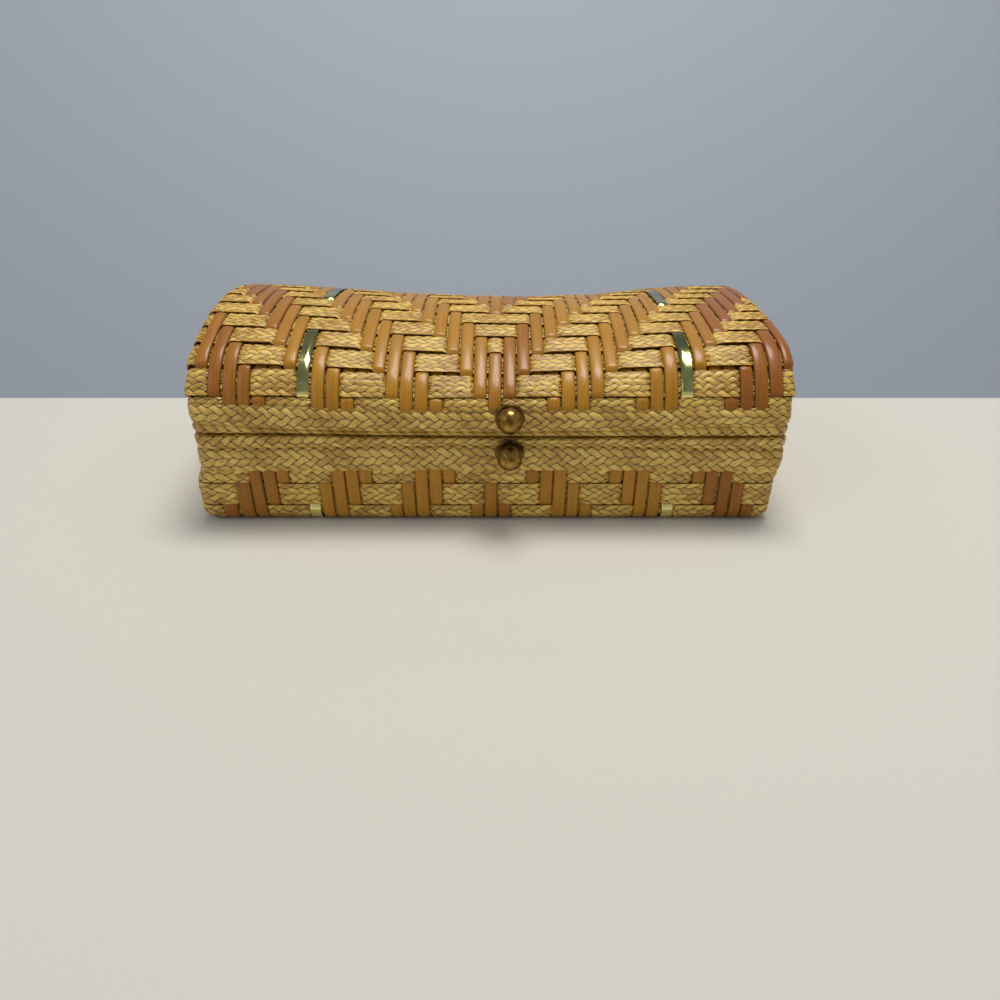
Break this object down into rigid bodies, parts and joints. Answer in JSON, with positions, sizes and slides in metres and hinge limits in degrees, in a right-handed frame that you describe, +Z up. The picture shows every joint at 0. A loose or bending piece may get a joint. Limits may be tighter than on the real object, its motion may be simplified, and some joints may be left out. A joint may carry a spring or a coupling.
{
  "type": "woven box bag",
  "caption": "Hard-sided woven straw and cane box bag with a barrel-topped lid hinged at the back, bright metal strips in the weave and ball knobs on the front rims.",
  "frame": {"origin": "centre of the woven underside, on the level that the bag stands on", "axes": "+X along the bag, to the right as seen from the front; +Y from the front, with its knobs, to the hinged back; +Z up"},
  "size_m": [0.2164, 0.1337, 0.0669],
  "materials": {
    "straw_and_cane": "glossy cane strips over dull pale straw braids",
    "straw_braid": "plaited straw, satin",
    "cane_hoop": "raw split cane",
    "stiffening_board": "grey-brown pulp board, matte",
    "lining_cloth": "plain woven cotton, matte",
    "gold_strip": "bright polished thin strip",
    "dark_brass": "tarnished",
    "aged_brass": "polished, darkened with age",
    "hinge_brass": "satin brass plate"
  },
  "bodies": {
    "tray": {"catch_keeper": "hinge_brass", "hinge_pin_left": "hinge_brass", "hinge_pin_right": "hinge_brass", "tray_ball_knob": "aged_brass", "tray_band_braid": "straw_braid", "tray_board": "stiffening_board", "tray_edge_braid": "straw_braid", "tray_gold_strips_left": "gold_strip", "tray_gold_strips_right": "gold_strip", "tray_hinge_leaf_left": "hinge_brass", "tray_hinge_leaf_right": "hinge_brass", "tray_hinge_rivets": "hinge_brass", "tray_knob_collar": "dark_brass", "tray_knob_washer": "aged_brass", "tray_lining": "lining_cloth", "tray_rim_hoop": "cane_hoop", "tray_woven_wall": "straw_and_cane"},
    "lid": {"catch_tongue": "hinge_brass", "lid_ball_knob": "aged_brass", "lid_band_braid": "straw_braid", "lid_board": "stiffening_board", "lid_edge_braid": "straw_braid", "lid_gold_strips_left": "gold_strip", "lid_gold_strips_right": "gold_strip", "lid_hinge_leaf_left": "hinge_brass", "lid_hinge_leaf_right": "hinge_brass", "lid_hinge_rivets": "hinge_brass", "lid_knob_collar": "dark_brass", "lid_knob_washer": "aged_brass", "lid_lining": "lining_cloth", "lid_rim_hoop": "cane_hoop", "lid_woven_cover": "straw_and_cane"}
  },
  "joints": [
    {"name": "lid_hinge", "type": "hinge", "parent": "tray", "child": "lid", "pos_m": [0, 0.06245, 0.036], "axis": [-1, 0, 0], "range_deg": [0, 105]}
  ]
}
